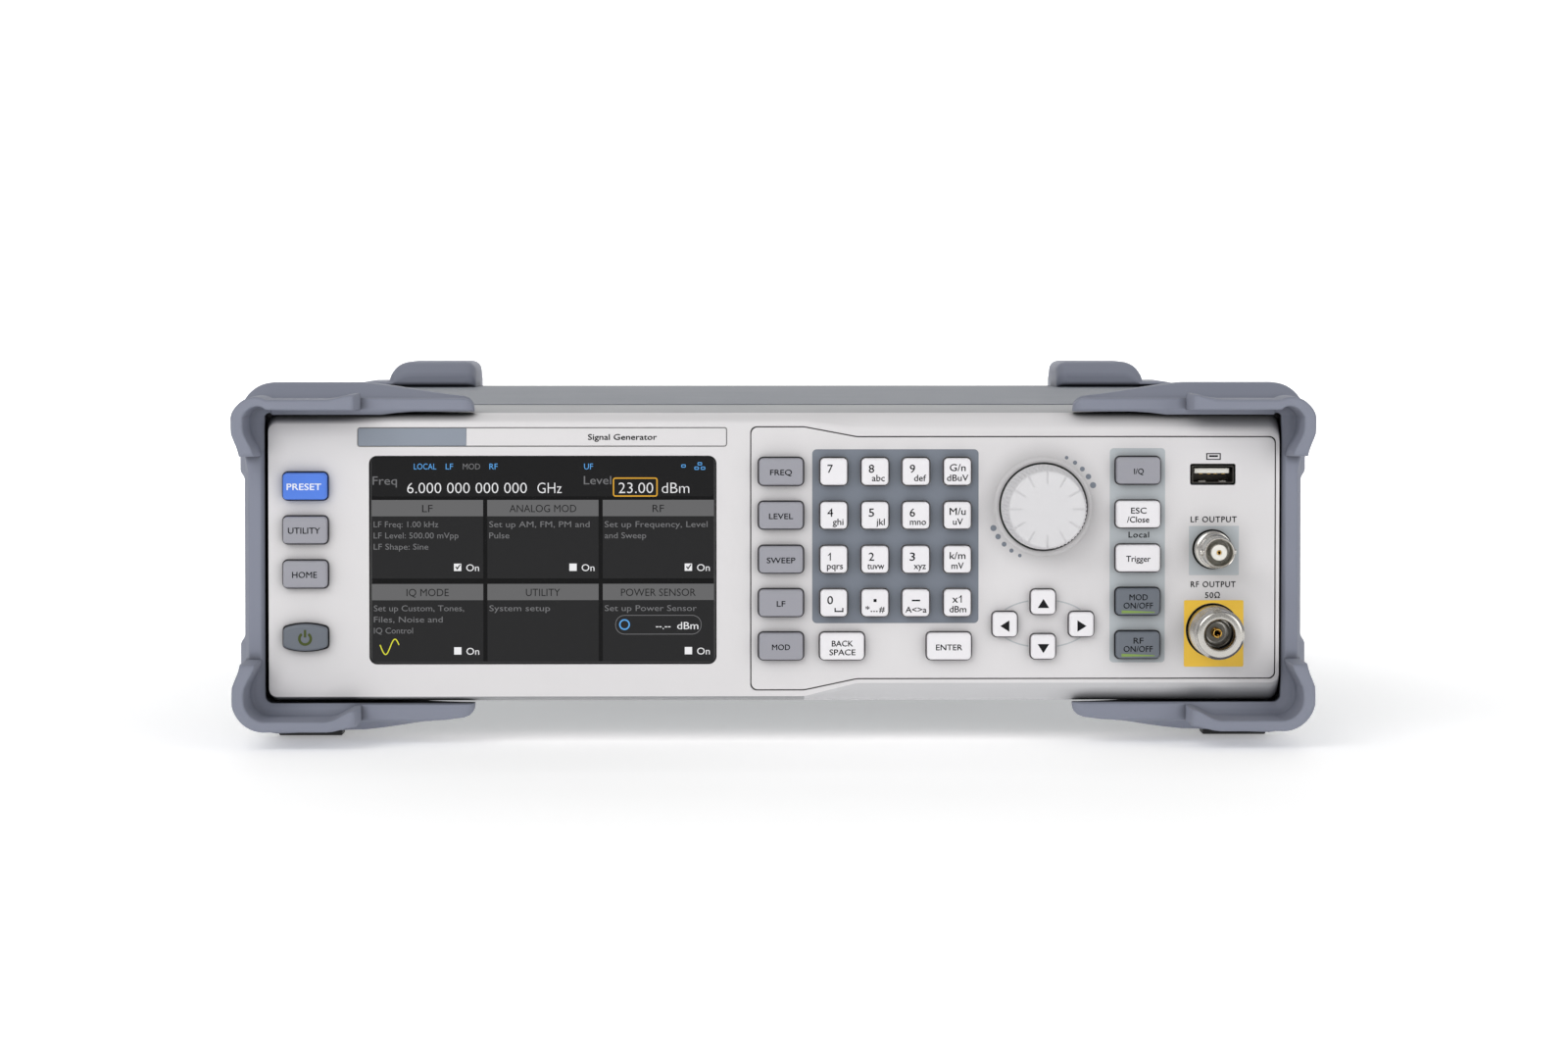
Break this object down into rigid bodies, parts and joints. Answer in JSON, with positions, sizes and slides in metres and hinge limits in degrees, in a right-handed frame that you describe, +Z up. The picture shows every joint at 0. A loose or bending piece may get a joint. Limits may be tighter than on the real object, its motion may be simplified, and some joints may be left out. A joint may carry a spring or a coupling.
{
  "type": "signal generator",
  "caption": "Bench RF signal generator with touch display, keypad, push-turn tuning knob, front coaxial outputs, corner bumpers, folding tilt legs and a rear fan.",
  "frame": {"origin": "under the middle of the unit, on the resting surface", "axes": "+X to the right seen from the front, +Y from front panel to rear panel, +Z up"},
  "size_m": [0.3362, 0.369, 0.116],
  "materials": {
    "panel_grey": "fine-textured light grey moulding",
    "bumper_grey": "matt blue-grey soft moulding",
    "cover_grey": "textured blue-grey paint",
    "key_white": "satin white key cap",
    "key_grey": "satin grey key cap",
    "key_dark": "satin dark grey key cap",
    "key_blue": "satin blue key cap",
    "glass_black": "black display glass",
    "black_plastic": "black moulding",
    "bright_metal": "nickel-plated connector metal",
    "plain_steel": "zinc-plated sheet steel",
    "board_green": "solder-masked circuit board"
  },
  "bodies": {
    "root": {"front_panel": "panel_grey", "control_plate": "panel_grey", "display_module": "glass_black", "front_bumper_left": "bumper_grey", "front_bumper_right": "bumper_grey", "rear_bumper_left": "bumper_grey", "rear_bumper_right": "bumper_grey", "top_cover": "cover_grey", "bottom_chassis": "plain_steel", "rear_panel": "plain_steel", "encoder_body": "plain_steel", "usb_socket": "bright_metal", "lf_output_connector": "bright_metal", "rf_output_connector": "bright_metal", "key_board": "board_green", "main_board": "board_green", "power_supply": "plain_steel", "mains_inlet": "black_plastic", "cooling_fan_frame": "black_plastic"},
    "encoder_shaft": {"encoder_shaft": "plain_steel"},
    "tuning_knob": {"tuning_knob": "panel_grey"},
    "fan_rotor": {"cooling_fan_rotor": "black_plastic"},
    "tilt_leg_left": {"tilt_leg_left": "black_plastic"},
    "tilt_leg_right": {"tilt_leg_right": "black_plastic"},
    "key_preset": {"key_preset": "key_blue"},
    "key_utility": {"key_utility": "key_grey"},
    "key_home": {"key_home": "key_grey"},
    "key_power": {"key_power": "key_dark"},
    "key_freq": {"key_freq": "key_grey"},
    "key_level": {"key_level": "key_grey"},
    "key_sweep": {"key_sweep": "key_grey"},
    "key_lf": {"key_lf": "key_grey"},
    "key_mod": {"key_mod": "key_grey"},
    "key_7": {"key_7": "key_white"},
    "key_8": {"key_8": "key_white"},
    "key_9": {"key_9": "key_white"},
    "key_unit_giga": {"key_unit_giga": "key_white"},
    "key_4": {"key_4": "key_white"},
    "key_5": {"key_5": "key_white"},
    "key_6": {"key_6": "key_white"},
    "key_unit_mega": {"key_unit_mega": "key_white"},
    "key_1": {"key_1": "key_white"},
    "key_2": {"key_2": "key_white"},
    "key_3": {"key_3": "key_white"},
    "key_unit_kilo": {"key_unit_kilo": "key_white"},
    "key_0": {"key_0": "key_white"},
    "key_point": {"key_point": "key_white"},
    "key_sign": {"key_sign": "key_white"},
    "key_unit_one": {"key_unit_one": "key_white"},
    "key_backspace": {"key_backspace": "key_white"},
    "key_enter": {"key_enter": "key_white"},
    "key_up": {"key_up": "key_white"},
    "key_left": {"key_left": "key_white"},
    "key_right": {"key_right": "key_white"},
    "key_down": {"key_down": "key_white"},
    "key_iq": {"key_iq": "key_grey"},
    "key_escape": {"key_escape": "key_white"},
    "key_trigger": {"key_trigger": "key_white"},
    "key_mod_switch": {"key_mod_switch": "key_dark"},
    "key_rf_switch": {"key_rf_switch": "key_dark"}
  },
  "joints": [
    {"name": "knob_push", "type": "slide", "parent": "root", "child": "encoder_shaft", "axis": [0, 1, 0], "range_m": [0, 0.0008], "stiffness_N_per_m": 1500, "springref_m": -0.001},
    {"name": "knob_turn", "type": "hinge", "parent": "encoder_shaft", "child": "tuning_knob", "pos_m": [0.0844, -0.1665, 0.0747], "axis": [0, -1, 0], "continuous": true},
    {"name": "fan_spin", "type": "hinge", "parent": "root", "child": "fan_rotor", "pos_m": [0.096, 0.1542, 0.058], "axis": [0, 1, 0], "continuous": true},
    {"name": "tilt_leg_left_fold", "type": "hinge", "parent": "root", "child": "tilt_leg_left", "pos_m": [-0.1482, -0.1355, 0.006], "axis": [-1, 0, 0], "range_deg": [0, 80]},
    {"name": "tilt_leg_right_fold", "type": "hinge", "parent": "root", "child": "tilt_leg_right", "pos_m": [0.1482, -0.1355, 0.006], "axis": [-1, 0, 0], "range_deg": [0, 80]},
    {"name": "key_preset_press", "type": "slide", "parent": "root", "child": "key_preset", "axis": [0, 1, 0], "range_m": [0, 0.0012], "stiffness_N_per_m": 400, "springref_m": -0.001},
    {"name": "key_utility_press", "type": "slide", "parent": "root", "child": "key_utility", "axis": [0, 1, 0], "range_m": [0, 0.0012], "stiffness_N_per_m": 400, "springref_m": -0.001},
    {"name": "key_home_press", "type": "slide", "parent": "root", "child": "key_home", "axis": [0, 1, 0], "range_m": [0, 0.0012], "stiffness_N_per_m": 400, "springref_m": -0.001},
    {"name": "key_power_press", "type": "slide", "parent": "root", "child": "key_power", "axis": [0, 1, 0], "range_m": [0, 0.0012], "stiffness_N_per_m": 400, "springref_m": -0.001},
    {"name": "key_freq_press", "type": "slide", "parent": "root", "child": "key_freq", "axis": [0, 1, 0], "range_m": [0, 0.0012], "stiffness_N_per_m": 400, "springref_m": -0.001},
    {"name": "key_level_press", "type": "slide", "parent": "root", "child": "key_level", "axis": [0, 1, 0], "range_m": [0, 0.0012], "stiffness_N_per_m": 400, "springref_m": -0.001},
    {"name": "key_sweep_press", "type": "slide", "parent": "root", "child": "key_sweep", "axis": [0, 1, 0], "range_m": [0, 0.0012], "stiffness_N_per_m": 400, "springref_m": -0.001},
    {"name": "key_lf_press", "type": "slide", "parent": "root", "child": "key_lf", "axis": [0, 1, 0], "range_m": [0, 0.0012], "stiffness_N_per_m": 400, "springref_m": -0.001},
    {"name": "key_mod_press", "type": "slide", "parent": "root", "child": "key_mod", "axis": [0, 1, 0], "range_m": [0, 0.0012], "stiffness_N_per_m": 400, "springref_m": -0.001},
    {"name": "key_7_press", "type": "slide", "parent": "root", "child": "key_7", "axis": [0, 1, 0], "range_m": [0, 0.0012], "stiffness_N_per_m": 400, "springref_m": -0.001},
    {"name": "key_8_press", "type": "slide", "parent": "root", "child": "key_8", "axis": [0, 1, 0], "range_m": [0, 0.0012], "stiffness_N_per_m": 400, "springref_m": -0.001},
    {"name": "key_9_press", "type": "slide", "parent": "root", "child": "key_9", "axis": [0, 1, 0], "range_m": [0, 0.0012], "stiffness_N_per_m": 400, "springref_m": -0.001},
    {"name": "key_unit_giga_press", "type": "slide", "parent": "root", "child": "key_unit_giga", "axis": [0, 1, 0], "range_m": [0, 0.0012], "stiffness_N_per_m": 400, "springref_m": -0.001},
    {"name": "key_4_press", "type": "slide", "parent": "root", "child": "key_4", "axis": [0, 1, 0], "range_m": [0, 0.0012], "stiffness_N_per_m": 400, "springref_m": -0.001},
    {"name": "key_5_press", "type": "slide", "parent": "root", "child": "key_5", "axis": [0, 1, 0], "range_m": [0, 0.0012], "stiffness_N_per_m": 400, "springref_m": -0.001},
    {"name": "key_6_press", "type": "slide", "parent": "root", "child": "key_6", "axis": [0, 1, 0], "range_m": [0, 0.0012], "stiffness_N_per_m": 400, "springref_m": -0.001},
    {"name": "key_unit_mega_press", "type": "slide", "parent": "root", "child": "key_unit_mega", "axis": [0, 1, 0], "range_m": [0, 0.0012], "stiffness_N_per_m": 400, "springref_m": -0.001},
    {"name": "key_1_press", "type": "slide", "parent": "root", "child": "key_1", "axis": [0, 1, 0], "range_m": [0, 0.0012], "stiffness_N_per_m": 400, "springref_m": -0.001},
    {"name": "key_2_press", "type": "slide", "parent": "root", "child": "key_2", "axis": [0, 1, 0], "range_m": [0, 0.0012], "stiffness_N_per_m": 400, "springref_m": -0.001},
    {"name": "key_3_press", "type": "slide", "parent": "root", "child": "key_3", "axis": [0, 1, 0], "range_m": [0, 0.0012], "stiffness_N_per_m": 400, "springref_m": -0.001},
    {"name": "key_unit_kilo_press", "type": "slide", "parent": "root", "child": "key_unit_kilo", "axis": [0, 1, 0], "range_m": [0, 0.0012], "stiffness_N_per_m": 400, "springref_m": -0.001},
    {"name": "key_0_press", "type": "slide", "parent": "root", "child": "key_0", "axis": [0, 1, 0], "range_m": [0, 0.0012], "stiffness_N_per_m": 400, "springref_m": -0.001},
    {"name": "key_point_press", "type": "slide", "parent": "root", "child": "key_point", "axis": [0, 1, 0], "range_m": [0, 0.0012], "stiffness_N_per_m": 400, "springref_m": -0.001},
    {"name": "key_sign_press", "type": "slide", "parent": "root", "child": "key_sign", "axis": [0, 1, 0], "range_m": [0, 0.0012], "stiffness_N_per_m": 400, "springref_m": -0.001},
    {"name": "key_unit_one_press", "type": "slide", "parent": "root", "child": "key_unit_one", "axis": [0, 1, 0], "range_m": [0, 0.0012], "stiffness_N_per_m": 400, "springref_m": -0.001},
    {"name": "key_backspace_press", "type": "slide", "parent": "root", "child": "key_backspace", "axis": [0, 1, 0], "range_m": [0, 0.0012], "stiffness_N_per_m": 400, "springref_m": -0.001},
    {"name": "key_enter_press", "type": "slide", "parent": "root", "child": "key_enter", "axis": [0, 1, 0], "range_m": [0, 0.0012], "stiffness_N_per_m": 400, "springref_m": -0.001},
    {"name": "key_up_press", "type": "slide", "parent": "root", "child": "key_up", "axis": [0, 1, 0], "range_m": [0, 0.0012], "stiffness_N_per_m": 400, "springref_m": -0.001},
    {"name": "key_left_press", "type": "slide", "parent": "root", "child": "key_left", "axis": [0, 1, 0], "range_m": [0, 0.0012], "stiffness_N_per_m": 400, "springref_m": -0.001},
    {"name": "key_right_press", "type": "slide", "parent": "root", "child": "key_right", "axis": [0, 1, 0], "range_m": [0, 0.0012], "stiffness_N_per_m": 400, "springref_m": -0.001},
    {"name": "key_down_press", "type": "slide", "parent": "root", "child": "key_down", "axis": [0, 1, 0], "range_m": [0, 0.0012], "stiffness_N_per_m": 400, "springref_m": -0.001},
    {"name": "key_iq_press", "type": "slide", "parent": "root", "child": "key_iq", "axis": [0, 1, 0], "range_m": [0, 0.0012], "stiffness_N_per_m": 400, "springref_m": -0.001},
    {"name": "key_escape_press", "type": "slide", "parent": "root", "child": "key_escape", "axis": [0, 1, 0], "range_m": [0, 0.0012], "stiffness_N_per_m": 400, "springref_m": -0.001},
    {"name": "key_trigger_press", "type": "slide", "parent": "root", "child": "key_trigger", "axis": [0, 1, 0], "range_m": [0, 0.0012], "stiffness_N_per_m": 400, "springref_m": -0.001},
    {"name": "key_mod_switch_press", "type": "slide", "parent": "root", "child": "key_mod_switch", "axis": [0, 1, 0], "range_m": [0, 0.0012], "stiffness_N_per_m": 400, "springref_m": -0.001},
    {"name": "key_rf_switch_press", "type": "slide", "parent": "root", "child": "key_rf_switch", "axis": [0, 1, 0], "range_m": [0, 0.0012], "stiffness_N_per_m": 400, "springref_m": -0.001}
  ]
}
